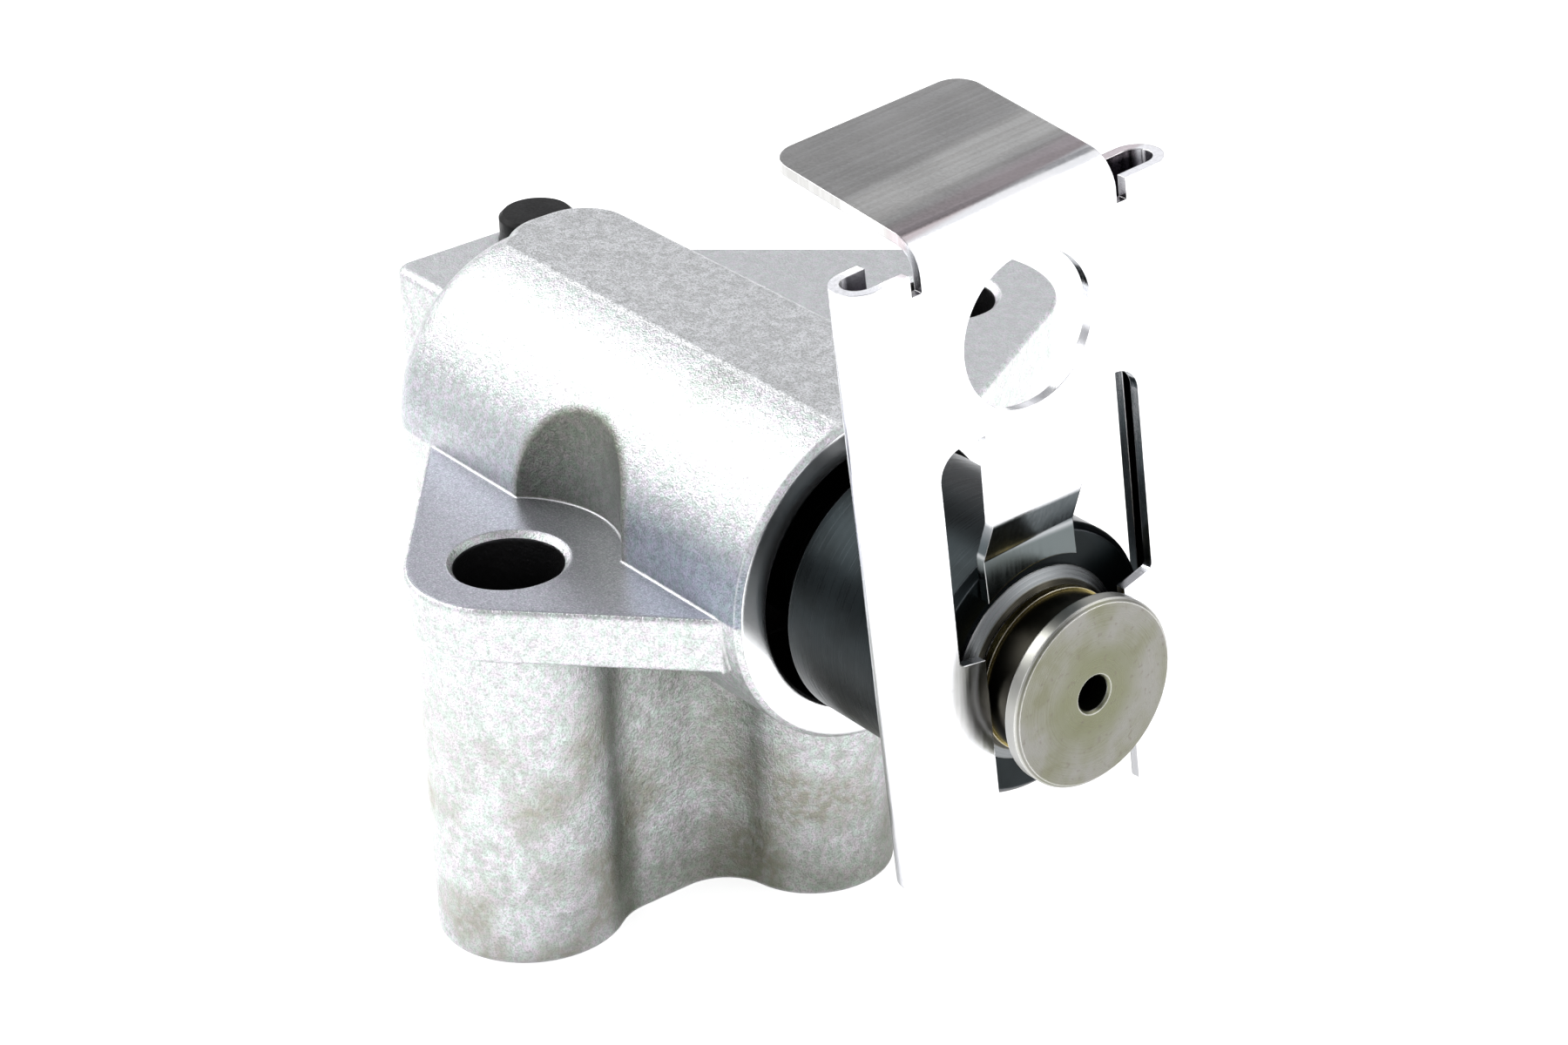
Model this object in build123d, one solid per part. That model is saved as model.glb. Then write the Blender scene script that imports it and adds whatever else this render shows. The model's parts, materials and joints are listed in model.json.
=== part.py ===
from build123d import *
from math import cos, radians, sqrt, tan
import os

# Hydraulic timing chain tensioner: a die-cast aluminium housing with two bolt ears, a sprung
# oil-filled plunger with a steel nose, and a sheet-steel transport clip hooked round the nose.
# Everything is drawn about the plunger's axis: +X is the way the plunger pushes, +Z is up, away
# from the mounting face, and X = 0 is the machined ring face of the housing. export_nodes()
# then moves it all to the datum, the first bolt hole's axis on the mounting face.

# Housing: barrel
barrel_r = 13.5             # outside radius of the barrel and of the machined ring face
barrel_length = 47.5
barrel_end_round = 4.5      # round of the closed rear end
ring_chamfer = 0.4
mounting_drop = 31.6        # plunger axis down to the mounting face

# Housing: flat top pad of the barrel
pad_height = 13.2           # plunger axis up to the flat
pad_near = 2.7              # reach of the flat on the first ear's side
pad_far = 8.3               # reach of the flat on the second ear's side
pad_corner_round = 4.6      # rear corners, seen from above
pad_edge_round = 1.1
pad_front_gap = 1.2         # pad front edge behind the ring face
pad_rear_gap = 0.6          # pad rear edge ahead of the barrel's rear face

# Housing: ears, bolt holes and bosses
bolt_hole_r = 4.25          # clearance hole for an M8 bolt
bolt_hole_chamfer = 0.5
ear_thickness = 4.5
ear_edge_round = 0.4
ear_1_x = -20.2
ear_1_reach = barrel_r * 7 / 15  # bolt's axis beyond the barrel's side
ear_1_y = -barrel_r - ear_1_reach
ear_1_face = 0.0            # height of the first ear's machined face
ear_1_lobe_r = 8.0
ear_1_foot_front = -2.0     # where the ear's front and rear edges run into the barrel
ear_1_foot_inset = 7.1      # rear end of the ear's foot, ahead of the barrel's rear face
ear_1_foot_rear = ear_1_foot_inset - barrel_length
ear_2_x = -18.8
ear_2_reach = barrel_r * 17 / 27
ear_2_y = barrel_r + ear_2_reach
ear_2_face = 9.4
ear_2_lobe_r = 9.2
ear_2_foot_front = -1.6
ear_2_foot_inset = 5.0
ear_2_foot_rear = ear_2_foot_inset - barrel_length
boss_r = 7.5
socket_relief_r = 9.35      # room for a socket beside the barrel
socket_relief_floor = 2.25  # its floor, inside the ear below the face
socket_relief_back = 1.0    # the relief's axis, off the bolt's axis toward the barrel's rear
ear_root_round = 0.8        # cast round between the second ear's face and the barrel

# Housing: pedestal under the barrel
web_front = -14.9
web_rear = -27.0
spine_half_width = 7.0
nose_lobe_x, nose_lobe_y, nose_lobe_r = -12.4, 2.4, 6.4
pedestal_round = 4.5        # concave rounds between bosses, web and lobe

# Housing: rear column with the vertical oil gallery
column_overhang = 6.1       # behind the barrel's rear face
column_inset = 3.5          # ahead of it
column_rear = -barrel_length - column_overhang
column_front = column_inset - barrel_length
column_near = 7.6           # reach on the first ear's side
column_far = 8.6
column_drop = 3.8           # pad's flat down to the column's top
column_top = pad_height - column_drop
column_round = 1.6
column_rim_round = 0.7
column_lap = 3.0            # reach of the foot's spine into the column
gallery_wall = 3.5          # gallery's axis ahead of the column's rear face
gallery_x = column_rear + gallery_wall
gallery_y = 4.7
gallery_r = 1.6
plug_fit = 0.05             # radial, plug in its seat
plug_seat_depth = 3.2
inlet_r = 3.2
inlet_depth = 2.0
cross_drill_r = 1.25

# Bore and plunger travel
stem_r = 7.0
running_clearance = 0.04    # radial, plunger stem in its bore
travel_in = 12.0            # from the stop, where the spring holds the plunger
bore_floor = 4.5            # wall between the bore's floor and the barrel's rear face
bore_end = bore_floor - barrel_length  # floor that the check valve seats on
reservoir_r = 6.0
reservoir_depth = 2.8
reservoir_end = bore_end - reservoir_depth
mouth_chamfer = 0.3
counterbore_r = 10.65
counterbore_spare = 3.0     # room left behind the head when it is pushed in

# Plunger body
head_r = 10.55
head_rear = 2.0             # rear edge of the head, ahead of the ring face
head_front = 17.5
head_chamfer = 0.5
head_recess_r = 9.2         # hollow rear of the head
head_recess_depth = 6.0
head_rear_chamfer = 0.25
stem_end_gap = 0.4          # stem to the check valve's cage when pushed in
stem_chamfer = 0.5
stem_bore_chamfer = 0.4
stem_bore_r = 4.9
stem_bore_front = 6.5       # floor that the spring pushes on
stop_groove_r = 6.3
shoulder_r = 7.5            # raised seat of the nose on the head's front face
shoulder_length = 0.25
relief_chamber_r = 2.3
relief_chamber_wall = 0.6    # web between the chamber and the plunger's hollow

# Plunger nose
neck_r = 6.15
disc_r = 7.3
disc_front = 23.85
disc_thickness = 1.5
disc_chamfer = 0.28
nose_cone_length = 0.8
nose_floor = 1.2            # the nose's inner shoulder, behind the head's front face
oil_hole_chamfer = 0.2
oil_hole_r = 1.38
spigot_r = 4.6
spigot_length = 5.2
neck_ring_x = 18.95         # middle of the neck's retaining groove
neck_ring_half = 0.32       # half of the groove's width and of the ring's depth
neck_ring_fit = 0.02
neck_ring_proud = 0.2

# Relief valve between the pressure chamber and the nose
relief_seat_r = 3.1
relief_seat_thickness = 1.4
relief_port_r = 0.8
relief_ball_r = 1.5
relief_lift = 0.7
relief_spring_wire = 0.35
relief_spring_r = 1.25
relief_spring_turns = 4
relief_cone_r = 1.25        # mouth of the 45 degree seat

# Check valve at the bore's floor
seat_flange_r = 6.7
seat_flange_thickness = 1.6
seal_thickness = 0.8
seal_width = 0.7
check_port_r = 1.7
check_ball_r = 2.5
check_cone_r = 2.05         # mouth of the 45 degree seat
ball_gap = 0.01             # ball to its seat's cone
check_lift = 0.8
cage_r = 3.55
cage_wall = 0.45
cage_flange_r = 5.6
cage_window = 1.5
cage_window_rear = 1.6      # window ends, from the cage's flange and from its closed end
cage_window_front = 0.8
check_spring_r = 1.35
check_spring_wire = 0.3
check_spring_turns = 3
cage_spring_room = 1.9

# Main spring and volume reducer
spring_wire_r = 0.5
spring_coil_r = 4.25        # middle of the wire
spring_turns = 13
spring_seat_gap = 0.05
reducer_r = 2.3
reducer_flange_r = 4.6
reducer_flange_thickness = 1.1
reducer_end_gap = 3.0       # reducer to the cage when pushed in
reducer_chamfer = 0.6

# Retaining ring of the plunger
stop_ring_wire_r = 0.55
stop_ring_gap = 30.0        # degrees that the open ring leaves out
groove_clearance = 0.12
stop_groove_gap = 1.4       # middle of the ring, behind the counterbore's floor

# Plugs and strainer
plug_r = 3.15
plug_proud = 2.3
plug_depth = 2.4
plug_head_chamfer = 0.35
o_ring_r = 0.35
o_ring_side = 0.08
o_ring_fit = 0.005
screen_thickness = 0.5
screen_frame = 0.7
screen_bars = 4
screen_bar_width = 0.22
screen_fit = 0.02
cross_ball_depth = 0.4

# Transport clip, in its own plane: front face at X = 0, upright, then leaned and turned
sheet = 0.8
clip_x = 20.2               # front face on the plunger's axis
clip_lean = 1.7             # degrees, top toward the housing
clip_turn = 4.4             # degrees about the plunger's axis, top toward the first ear
clip_half_width = 14.4
clip_bottom = -12.0
clip_top = 35.5
hem_gap = 2.5
hem_leg = 3.65
window_half_width = 9.05
window_y = 0.25             # the window's middle, off the fork's middle
window_top = 21.4
window_bottom = 4.75
window_round = 2.1
window_slope = 12.0         # degrees, the lower ledges fall toward the fork
fork_half_width = 6.55
fork_round = 0.5
clip_hole_r = 5.75
clip_hole_z = 27.7
tab_y = -0.45
tab_half_width = 4.15
tab_bend_r = 1.0
tab_line = [                # rear face of the tab as (X, Z), from its root down to its end
    (-0.8, 21.9),
    (-1.0, 14.2),
    (-2.4, 10.9),
    (-2.2, 5.0),
]
tab_end_r = 8.7
tongue_half_width = 8.7
tongue_z = 37.3             # upper face of the tongue, carried forward to the front face
tongue_rise = 7.5           # degrees
tongue_length = 15.9
tongue_bend_r = 2.6         # outside radius
tongue_corner = 2.1
tongue_notch = 0.9
tongue_foot = 3.4           # depth of the notches beside the tongue, below its upper face


def x_cylinder(radius, start, end):
    """Cylinder about the plunger's axis between two stations."""
    blank = Cylinder(radius, end - start, align=(Align.CENTER, Align.CENTER, Align.MIN))
    return Pos(start, 0, 0) * Rot(0, 90, 0) * blank


def z_cylinder(x, y, radius, low, high):
    """Upright cylinder between two heights."""
    blank = Cylinder(radius, high - low, align=(Align.CENTER, Align.CENTER, Align.MIN))
    return Pos(x, y, low) * blank


def block(x_range, y_range, z_range):
    """Box between two stations along each axis."""
    size = [high - low for low, high in (x_range, y_range, z_range)]
    corner = Pos(x_range[0], y_range[0], z_range[0])
    return corner * Box(*size, align=(Align.MIN, Align.MIN, Align.MIN))


def turned(outline):
    """Solid of revolution about the plunger's axis from (station, radius) points."""
    return revolve(make_face(Polyline(*outline, close=True)), Axis.X)


def coil(radius, wire_r, start, end, turns):
    """Round-wire compression spring about the plunger's axis."""
    length = end - start - 2 * wire_r
    path = Helix(pitch=length / turns, height=length, radius=radius)
    section = Plane(origin=path @ 0, z_dir=path % 0) * Circle(wire_r)
    spring = sweep(section, path=path, is_frenet=True)
    return Pos(start + wire_r, 0, 0) * Rot(0, 90, 0) * spring


def ear_foot_y(y, face):
    """Where an ear's face meets the barrel, on the side of its bolt."""
    return (1 if y > 0 else -1) * sqrt(barrel_r ** 2 - face ** 2)


def ear_plate(x, y, face, lobe_r, foot_front, foot_rear):
    """Ear with a round lobe and two edges running tangent to it from the barrel."""
    foot_y = ear_foot_y(y, face)
    foot = Line((foot_rear, foot_y), (foot_front, foot_y))
    plan = make_hull((Pos(x, y) * Circle(lobe_r)).edges() + foot.edges())
    plate = Pos(0, 0, face - ear_thickness) * extrude(plan, ear_thickness)
    levels = plate.edges().group_by(Axis.Z)
    rims = [edge for edge in levels[0] + levels[-1]
            if abs(edge.center().Y) > abs(foot_y) + 0.1]
    plate = fillet(rims, ear_edge_round)
    root = Pos((foot_front + foot_rear) / 2, foot_y * 0.75) * Rectangle(
        foot_front - foot_rear, abs(foot_y) / 2)
    return plate + Pos(0, 0, face - ear_thickness) * extrude(root, ear_thickness)


def bolt_hole(x, y, face):
    """Through hole with a chamfered mouth, as one cutter."""
    hole = z_cylinder(x, y, bolt_hole_r, -mounting_drop, face)
    wide = bolt_hole_r + bolt_hole_chamfer
    mouth = Pos(x, y, face - bolt_hole_chamfer) * Cone(
        bolt_hole_r, wide, bolt_hole_chamfer, align=(Align.CENTER, Align.CENTER, Align.MIN))
    return hole + mouth


def pedestal():
    """Foot casting: both bosses, the web between them, the front lobe and the spine."""
    spine_end = column_front - column_lap
    plan = Sketch() + [
        Pos(ear_1_x, ear_1_y) * Circle(boss_r),
        Pos(ear_2_x, ear_2_y) * Circle(boss_r),
        Pos(nose_lobe_x, nose_lobe_y) * Circle(nose_lobe_r),
        Pos((web_front + web_rear) / 2, (ear_1_y + ear_2_y) / 2) * Rectangle(
            web_front - web_rear, ear_2_y - ear_1_y),
        Pos((web_front + spine_end) / 2, 0) * Rectangle(
            web_front - spine_end, 2 * spine_half_width),
    ]
    plan = offset(offset(plan, pedestal_round, kind=Kind.ARC), -pedestal_round, kind=Kind.ARC)
    foot = Pos(0, 0, -mounting_drop) * extrude(plan, mounting_drop - barrel_r / 2)
    for x, y, face in ((ear_1_x, ear_1_y, ear_1_face), (ear_2_x, ear_2_y, ear_2_face)):
        top = face - ear_thickness / 2
        foot += z_cylinder(x, y, boss_r, -mounting_drop, top)
        foot += block((web_rear, web_front), (min(0, y), max(0, y)), (-mounting_drop, top))
    return foot


def rear_column():
    """Upright block behind the barrel that carries the oil gallery."""
    column = block((column_rear, column_front), (-column_near, column_far),
                   (-mounting_drop, column_top))
    column = fillet(column.edges().filter_by(Axis.Z).group_by(Axis.X)[0], column_round)
    rim = [edge for edge in column.edges().group_by(Axis.Z)[-1]
           if edge.center().X < column_front - column_rim_round]
    return fillet(rim, column_rim_round)


def top_pad():
    """Flat pad along the barrel's top, with round rear corners and a rounded rim."""
    pad = block((pad_rear_gap - barrel_length, -pad_front_gap), (-pad_near, pad_far),
                (0, pad_height))
    pad = fillet(pad.edges().filter_by(Axis.Z).group_by(Axis.X)[0], pad_corner_round)
    rim = [edge for edge in pad.edges().group_by(Axis.Z)[-1]
           if edge.center().X < -pad_front_gap - pad_edge_round]
    return fillet(rim, pad_edge_round)


def barrel():
    """Barrel with the socket relief, its pad, and the crown cut down to the pad's flat."""
    shell = x_cylinder(barrel_r, -barrel_length, 0)
    shell -= z_cylinder(ear_1_x - socket_relief_back, ear_1_y, socket_relief_r,
                        ear_1_face - socket_relief_floor, 2 * barrel_r)
    shell = fillet(shell.edges().group_by(Axis.X)[0], barrel_end_round)
    shell = chamfer(shell.edges().group_by(Axis.X)[-1], ring_chamfer)
    shell += top_pad()
    return shell - block((-2 * barrel_length, barrel_length), (-2 * barrel_r, 2 * barrel_r),
                         (pad_height, pad_height + barrel_r))


def rounded_root(body):
    """Adds the cast round where the second ear's face meets the barrel or its pad."""
    reach = max(ear_foot_y(ear_2_y, ear_2_face), pad_far)
    root = [edge for edge in body.edges().filter_by(Axis.X)
            if abs(edge.center().Z - ear_2_face) < 0.01 and abs(edge.center().Y - reach) < 0.01]
    return fillet(max(root, key=lambda edge: edge.length), ear_root_round)


def housing():
    """Die-cast housing with its machined bores, holes and faces."""
    body = barrel() + pedestal() + rear_column()
    body += ear_plate(ear_1_x, ear_1_y, ear_1_face, ear_1_lobe_r, ear_1_foot_front,
                      ear_1_foot_rear)
    body += ear_plate(ear_2_x, ear_2_y, ear_2_face, ear_2_lobe_r, ear_2_foot_front,
                      ear_2_foot_rear)
    body = rounded_root(body)
    body -= bolt_hole(ear_1_x, ear_1_y, ear_1_face)
    body -= bolt_hole(ear_2_x, ear_2_y, ear_2_face)
    return body - bore_cutter() - gallery_cutter()


def counterbore_floor():
    """Station of the counterbore's floor, clear of the head over its whole travel."""
    return head_rear - travel_in - counterbore_spare


def bore_cutter():
    """Counterbore, main bore, stop ring groove and reservoir, as one turned cutter."""
    bore_r = stem_r + running_clearance
    floor = counterbore_floor()
    groove_half = stop_ring_wire_r + groove_clearance
    groove_r = stem_r + 2 * stop_ring_wire_r
    groove_front = stop_ring_x() + groove_half
    groove_rear = stop_ring_x() - groove_half
    outline = [
        (0, 0), (0, counterbore_r + mouth_chamfer), (-mouth_chamfer, counterbore_r),
        (floor, counterbore_r), (floor, bore_r),
        (groove_front, bore_r), (groove_front, groove_r),
        (groove_rear, groove_r), (groove_rear, bore_r),
        (bore_end, bore_r), (bore_end, reservoir_r), (reservoir_end, reservoir_r),
        (reservoir_end, 0),
    ]
    return turned(outline)


def gallery_cutter():
    """Upright oil gallery with its plug seat and strainer recess, and the cross drilling."""
    gallery = z_cylinder(gallery_x, gallery_y, gallery_r, -mounting_drop, column_top)
    gallery += z_cylinder(gallery_x, gallery_y, plug_r + plug_fit,
                          column_top - plug_seat_depth, column_top + plug_proud)
    gallery += z_cylinder(gallery_x, gallery_y, inlet_r, -mounting_drop,
                          -mounting_drop + inlet_depth)
    cross = Pos(0, gallery_y, 0) * x_cylinder(cross_drill_r, column_rear,
                                              reservoir_end + cross_drill_r)
    return gallery + cross


def stop_ring_x():
    """Station of the stop ring, just behind the counterbore's floor."""
    return counterbore_floor() - stop_groove_gap


def stem_rear():
    """Rear end of the stem, clear of the check valve's cage when pushed in."""
    return seat_front_x() + cage_wall + travel_in + stem_end_gap


def plunger_body():
    """Blued steel plunger: wide head, long hollow stem with the travel groove."""
    groove_front = stop_ring_x() + stop_ring_wire_r + travel_in + groove_clearance
    groove_rear = stop_ring_x() - stop_ring_wire_r - groove_clearance
    recess = head_rear + head_recess_depth
    seat_front = stem_bore_front + relief_seat_thickness
    chamber_r = relief_chamber_r + relief_chamber_wall
    outline = [
        (stem_rear(), stem_bore_r + stem_bore_chamfer), (stem_rear(), stem_r - stem_chamfer),
        (stem_rear() + stem_chamfer, stem_r), (groove_rear, stem_r),
        (groove_rear, stop_groove_r), (groove_front, stop_groove_r), (groove_front, stem_r),
        (recess, stem_r), (recess, head_recess_r), (head_rear, head_recess_r),
        (head_rear, head_r - head_rear_chamfer), (head_rear + head_rear_chamfer, head_r),
        (head_front - head_chamfer, head_r), (head_front, head_r - head_chamfer),
        (head_front, spigot_r), (head_front - spigot_length, spigot_r),
        (head_front - spigot_length, chamber_r), (seat_front, chamber_r),
        (seat_front, relief_seat_r), (stem_bore_front, relief_seat_r),
        (stem_bore_front, stem_bore_r), (stem_rear() + stem_bore_chamfer, stem_bore_r),
    ]
    return turned(outline)


def plunger_nose():
    """Hardened nose: pressed spigot, coned shoulder, grooved neck and head disc."""
    spigot_rear = head_front - spigot_length
    cone_end = head_front + shoulder_length + nose_cone_length
    ring_rear = neck_ring_x - neck_ring_half
    ring_front = neck_ring_x + neck_ring_half
    groove_r = neck_r + neck_ring_proud - 2 * neck_ring_half
    disc_rear = disc_front - disc_thickness
    floor = head_front - nose_floor
    outline = [
        (spigot_rear, relief_chamber_r), (spigot_rear, spigot_r), (head_front, spigot_r),
        (head_front, shoulder_r), (head_front + shoulder_length, shoulder_r),
        (cone_end, neck_r), (ring_rear, neck_r), (ring_rear, groove_r),
        (ring_front, groove_r), (ring_front, neck_r),
        (disc_rear, neck_r), (disc_rear, disc_r - disc_chamfer),
        (disc_rear + disc_chamfer, disc_r), (disc_front - disc_chamfer, disc_r),
        (disc_front, disc_r - disc_chamfer), (disc_front, oil_hole_r + oil_hole_chamfer),
        (disc_front - oil_hole_chamfer, oil_hole_r), (floor, oil_hole_r),
        (floor, relief_chamber_r),
    ]
    return turned(outline)


def neck_ring():
    """Thin brass-coloured band in the neck's groove."""
    outer = neck_r + neck_ring_proud
    half = neck_ring_half - neck_ring_fit
    band = x_cylinder(outer, neck_ring_x - half, neck_ring_x + half)
    return band - x_cylinder(outer - 2 * neck_ring_half, neck_ring_x - half, neck_ring_x + half)


def seat_disc(radius, rear, front, port_r, cone_r):
    """Valve seat: a disc with a port that opens in a 45 degree cone."""
    seat = x_cylinder(radius, rear, front) - x_cylinder(port_r, rear, front)
    return seat - turned([(front, 0), (front, cone_r), (front - cone_r, 0)])


def ball_station(front, cone_r, ball_r):
    """Centre of a ball that sits in a seat's 45 degree cone."""
    return front - cone_r + ball_r * sqrt(2) + ball_gap


def spring_on_ball(centre, ball_r, coil_r, wire_r):
    """Where a spring starts whose last turn rests on a ball."""
    reach = sqrt((ball_r + wire_r) ** 2 - coil_r ** 2)
    return centre + reach - wire_r + spring_seat_gap


def relief_seat():
    """Seat disc of the relief valve."""
    front = stem_bore_front + relief_seat_thickness
    return seat_disc(relief_seat_r, stem_bore_front, front, relief_port_r, relief_cone_r)


def relief_ball_x():
    """Station of the relief ball's centre."""
    front = stem_bore_front + relief_seat_thickness
    return ball_station(front, relief_cone_r, relief_ball_r)


def relief_ball():
    """Ball of the relief valve."""
    return Pos(relief_ball_x(), 0, 0) * Sphere(relief_ball_r)


def relief_spring():
    """Light spring between the relief ball and the nose."""
    wire_r = relief_spring_wire / 2
    start = spring_on_ball(relief_ball_x(), relief_ball_r, relief_spring_r, wire_r)
    end = head_front - nose_floor - spring_seat_gap
    return coil(relief_spring_r, wire_r, start, end, relief_spring_turns)


def seat_front_x():
    """Front face of the check valve's seat."""
    return bore_end + seal_thickness + seat_flange_thickness


def check_seal():
    """Flat sealing ring under the check valve's seat."""
    rear, front = bore_end, bore_end + seal_thickness
    return x_cylinder(seat_flange_r, rear, front) - x_cylinder(
        seat_flange_r - seal_width, rear, front)


def check_seat():
    """Hardened seat disc with the oil port."""
    return seat_disc(seat_flange_r, bore_end + seal_thickness, seat_front_x(), check_port_r,
                     check_cone_r)


def check_ball_x():
    """Station of the check ball's centre."""
    return ball_station(seat_front_x(), check_cone_r, check_ball_r)


def check_ball():
    """Check valve ball."""
    return Pos(check_ball_x(), 0, 0) * Sphere(check_ball_r)


def cage_front_x():
    """Inner face of the cage's closed end."""
    return check_ball_x() + check_ball_r + check_lift + cage_spring_room


def check_cage():
    """Pressed cup with windows that keeps the ball and its spring over the port."""
    rear = seat_front_x()
    front = cage_front_x()
    cup = turned([
        (rear, cage_r - cage_wall), (rear, cage_flange_r), (rear + cage_wall, cage_flange_r),
        (rear + cage_wall, cage_r), (front + cage_wall, cage_r), (front + cage_wall, 0),
        (front, 0), (front, cage_r - cage_wall),
    ])
    window = (rear + cage_window_rear, front - cage_window_front)
    for turn in range(3):
        slot = block(window, (-cage_window / 2, cage_window / 2), (0, 2 * cage_r))
        cup -= Rot(turn * 120, 0, 0) * slot
    return cup


def check_spring():
    """Light spring between the check ball and its cage."""
    wire_r = check_spring_wire / 2
    start = spring_on_ball(check_ball_x(), check_ball_r, check_spring_r, wire_r)
    return coil(check_spring_r, wire_r, start, cage_front_x() - spring_seat_gap,
                check_spring_turns)


def plunger_spring():
    """Main spring from the check valve's cage flange to the plunger's floor."""
    start = seat_front_x() + cage_wall + spring_seat_gap
    end = stem_bore_front - reducer_flange_thickness - spring_seat_gap
    return coil(spring_coil_r, spring_wire_r, start, end, spring_turns)


def volume_reducer():
    """Plastic filler inside the spring, seated on the plunger's floor, with an oil hole."""
    front = stem_bore_front
    rear = cage_front_x() + cage_wall + travel_in + reducer_end_gap
    pin = x_cylinder(reducer_r, rear, front)
    pin = chamfer(pin.edges().group_by(Axis.X)[0], reducer_chamfer)
    flange = x_cylinder(reducer_flange_r, front - reducer_flange_thickness, front)
    return pin + flange - x_cylinder(relief_port_r, rear, front)


def stop_ring():
    """Open wire ring in the bore that ends the plunger's travel."""
    whole = Pos(stop_ring_x(), 0, 0) * Rot(0, 90, 0) * Torus(
        stem_r + running_clearance, stop_ring_wire_r)
    reach = 3 * stem_r
    spread = reach * tan(radians(stop_ring_gap / 2))
    wedge = make_face(Polyline((0, 0), (-reach, -spread), (-reach, spread), close=True))
    gap = extrude(wedge, 2 * stop_ring_wire_r, both=True)
    return whole - Pos(stop_ring_x(), 0, 0) * Rot(0, 90, 0) * gap


def gallery_plug():
    """Black plug pressed into the gallery's top, standing proud of the column."""
    plug = z_cylinder(gallery_x, gallery_y, plug_r, column_top - plug_depth,
                      column_top + plug_proud)
    plug = chamfer(plug.edges().group_by(Axis.Z)[-1], plug_head_chamfer)
    low = column_top - plug_depth / 2 - o_ring_r - o_ring_side
    high = column_top - plug_depth / 2 + o_ring_r + o_ring_side
    groove = z_cylinder(gallery_x, gallery_y, plug_r, low, high)
    groove -= z_cylinder(gallery_x, gallery_y, plug_r + plug_fit - 2 * o_ring_r, low, high)
    return plug - groove


def plug_seal():
    """Round-section seal in the plug's groove."""
    centre = Pos(gallery_x, gallery_y, column_top - plug_depth / 2)
    return centre * Torus(plug_r + plug_fit - o_ring_r, o_ring_r - o_ring_fit)


def feed_screen():
    """Strainer in the oil inlet: a rim with crossed bars."""
    low = -mounting_drop + inlet_depth - screen_thickness
    high = low + screen_thickness
    rim = z_cylinder(gallery_x, gallery_y, inlet_r - screen_fit, low, high)
    rim -= z_cylinder(gallery_x, gallery_y, inlet_r - screen_frame, low, high)
    reach = inlet_r - screen_frame / 2
    pitch = 2 * (inlet_r - screen_frame) / (screen_bars + 1)
    for index in range(screen_bars):
        place = (index - (screen_bars - 1) / 2) * pitch
        half = sqrt(reach ** 2 - place ** 2)
        along_x = Box(2 * half, screen_bar_width, screen_thickness / 2)
        along_y = Box(screen_bar_width, 2 * half, screen_thickness / 2)
        middle = low + screen_thickness / 2
        rim += Pos(gallery_x, gallery_y + place, middle) * along_x
        rim += Pos(gallery_x + place, gallery_y, middle) * along_y
    return rim


def cross_ball():
    """Ball pressed into the outer end of the cross drilling."""
    return Pos(column_rear + cross_ball_depth + cross_drill_r, gallery_y, 0) * Sphere(cross_drill_r)


def clip_rail():
    """Face plate with both side hems, one folded section along the clip's height."""
    outer = hem_gap / 2 + sheet
    middle = hem_gap / 2 + sheet / 2
    bend_y = clip_half_width - outer
    leg_y = bend_y - hem_leg + outer
    rear_x = -2 * middle - sheet / 2
    front_x = -sheet / 2
    with BuildLine() as path:
        Line((rear_x, -leg_y), (rear_x, -bend_y))
        ThreePointArc((rear_x, -bend_y), (-sheet / 2 - middle, -bend_y - middle),
                      (front_x, -bend_y))
        Line((front_x, -bend_y), (front_x, bend_y))
        ThreePointArc((front_x, bend_y), (-sheet / 2 - middle, bend_y + middle),
                      (rear_x, bend_y))
        Line((rear_x, bend_y), (rear_x, leg_y))
    section = trace(path.line, line_width=sheet)
    return Pos(0, 0, clip_bottom) * extrude(section, clip_top - clip_bottom)


def clip_window():
    """Cutter of the wide window and the open fork below it."""
    near = window_y - window_half_width
    far = window_y + window_half_width
    slope = tan(radians(window_slope))
    outline = [
        (-fork_half_width, clip_bottom - 1),
        (-fork_half_width, window_bottom + (near + fork_half_width) * slope),
        (near, window_bottom), (near, window_top),
        (far, window_top), (far, window_bottom),
        (fork_half_width, window_bottom + (fork_half_width - far) * slope),
        (fork_half_width, clip_bottom - 1),
    ]
    face = make_face(Polyline(*outline, close=True))
    top = [v for v in face.vertices() if v.Y > window_top - 0.1]
    face = fillet(top, window_round)
    low = [v for v in face.vertices() if abs(v.Y - window_bottom) < 0.1]
    face = fillet(low, fork_round)
    opening = Plane.YZ * extrude(face, 2 * sheet, both=True)
    hole = Pos(0, 0, clip_hole_z) * x_cylinder(clip_hole_r, -2 * sheet, 2 * sheet)
    return opening + hole


def folded(face_line, side, half_width):
    """Bent strip: a line along one face of the sheet, thickened to its other face."""
    section = make_face(offset(face_line, sheet, side=side))
    return Rot(90, 0, 0) * extrude(section, half_width, both=True)


def clip_tongue():
    """Top tongue, bent back over the housing and rising a little toward its rounded end."""
    rise = radians(tongue_rise)
    lower = tongue_z - sheet / cos(rise) + sheet * tan(rise)
    corner = (-sheet, lower)
    tip = (-tongue_length, lower + (tongue_length - sheet) * tan(rise))
    foot = (-sheet, tongue_z - tongue_foot)
    line = FilletPolyline(foot, corner, tip, radius=tongue_bend_r - sheet)
    tongue = folded(line, Side.RIGHT, tongue_half_width)
    ends = [edge for edge in tongue.edges() if edge.length < sheet * 1.2
            and edge.center().X < tip[0] + sheet and abs(edge.center().Y) > tongue_half_width / 2]
    return fillet(ends, tongue_corner)


def clip_tab():
    """Spring tab in the window: it hangs down, steps back and ends in an arc round the neck."""
    line = FilletPolyline(*tab_line, radius=tab_bend_r)
    tab = Pos(0, tab_y, 0) * folded(line, Side.LEFT, tab_half_width)
    return tab - x_cylinder(tab_end_r, -clip_half_width, clip_half_width)


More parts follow.
